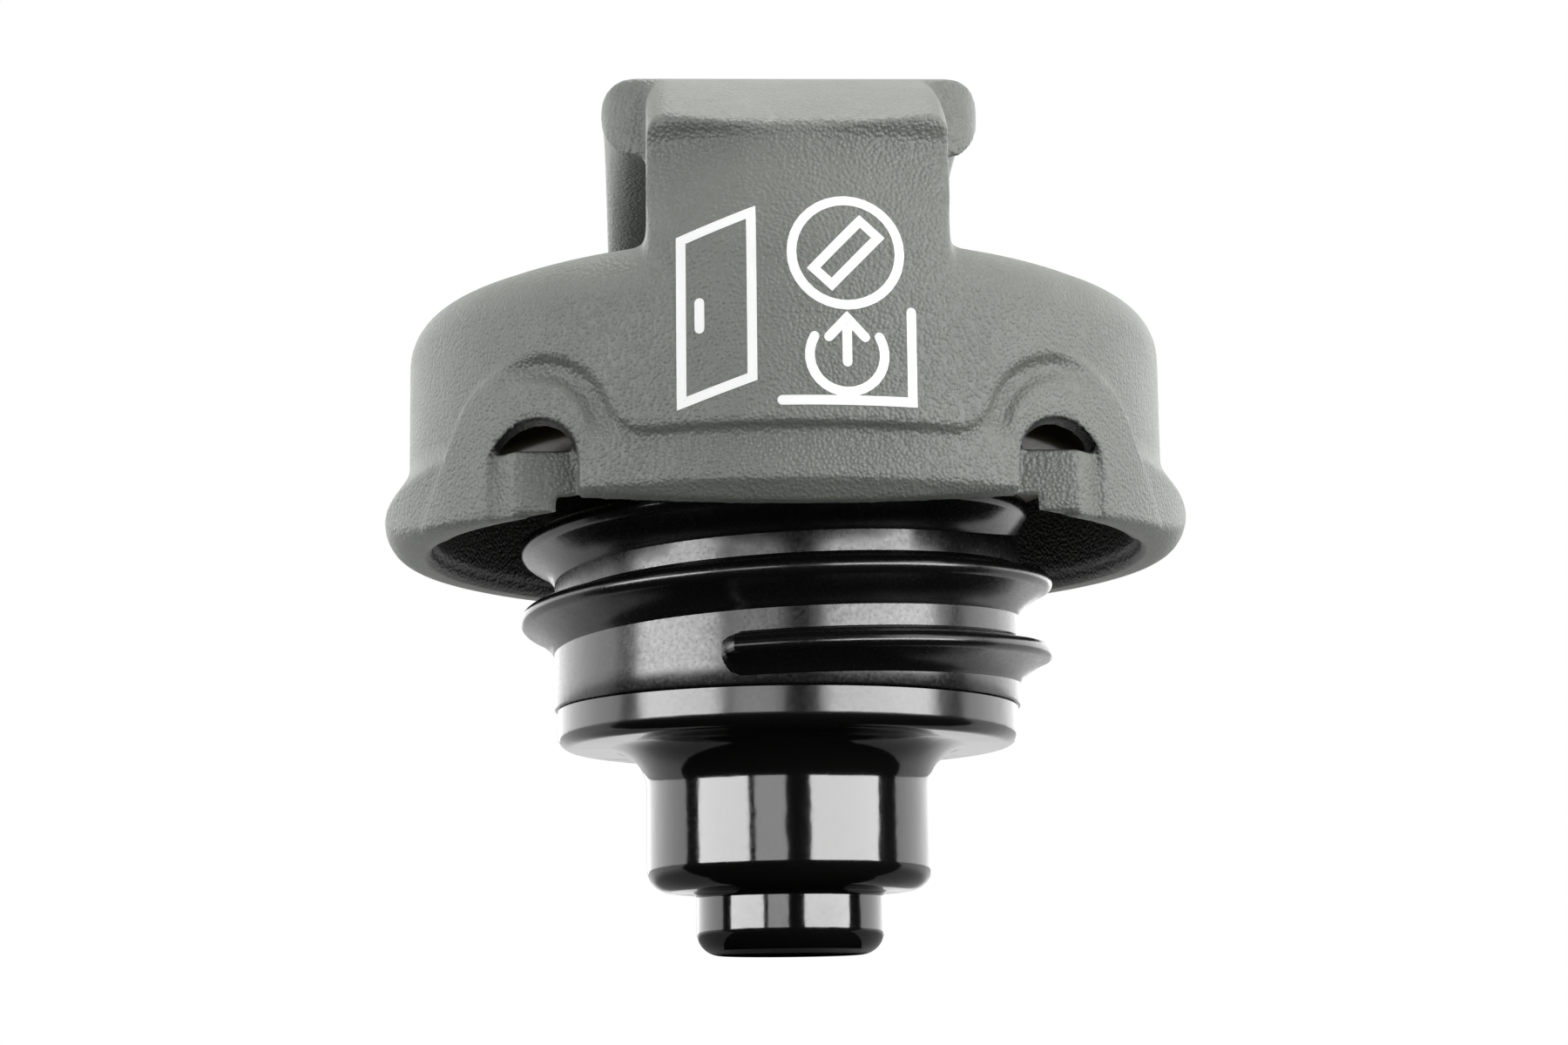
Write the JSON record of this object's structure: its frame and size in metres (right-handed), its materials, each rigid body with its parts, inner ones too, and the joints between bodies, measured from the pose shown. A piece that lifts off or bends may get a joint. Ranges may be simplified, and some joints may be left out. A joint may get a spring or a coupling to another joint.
{
  "type": "fuel cap",
  "caption": "Screw-in fuel filler cap with a bar handle on a domed cover, a coarse thread, hanger slots and a two-way vent valve.",
  "frame": {"origin": "on the cap's axis, at mid-height of the plain pilot band below the weld seam", "axes": "+Z along the cap's axis towards the handle, the mating neck leaves along -Z, and -Y towards the hanger slots at the front of the cover"},
  "size_m": [0.0738, 0.0726, 0.0798],
  "materials": {
    "cover_plastic": "fine leather grain, greenish grey",
    "click_nylon": "natural amber nylon",
    "inner_plastic": "black moulded",
    "closure_plastic": "glossy black",
    "gasket_rubber": "smooth dark olive rubber",
    "housing_plastic": "polished black",
    "valve_plastic": "natural acetal",
    "seal_rubber": "smooth black rubber",
    "print_white": "white pad-printed pictogram",
    "spring_steel": "bright drawn wire"
  },
  "bodies": {
    "closure": {"closure_body": "closure_plastic", "neck_gasket": "gasket_rubber", "inner_cover": "inner_plastic", "valve_housing": "housing_plastic", "spring_retainer": "valve_plastic", "pressure_spring": "spring_steel"},
    "cover": {"handle_cover": "cover_plastic", "torque_plate": "click_nylon"},
    "pressure_valve": {"pressure_plate": "valve_plastic", "pressure_seal": "seal_rubber", "vacuum_spring": "spring_steel"},
    "vacuum_valve": {"vacuum_valve": "valve_plastic", "vacuum_clip": "spring_steel"}
  },
  "joints": [
    {"name": "cover_turn", "type": "hinge", "parent": "closure", "child": "cover", "pos_m": [0, 0, 0], "axis": [0, 0, 1], "range_deg": [-360, 0], "deforming": ["torque_plate"]},
    {"name": "pressure_lift", "type": "slide", "parent": "closure", "child": "pressure_valve", "axis": [0, 0, 1], "range_m": [0, 0.002], "stiffness_N_per_m": 300, "springref_m": -0.003, "deforming": ["pressure_spring"]},
    {"name": "vacuum_drop", "type": "slide", "parent": "pressure_valve", "child": "vacuum_valve", "axis": [0, 0, -1], "range_m": [0, 0.0014], "stiffness_N_per_m": 100, "springref_m": -0.0015, "deforming": ["vacuum_spring"]}
  ]
}
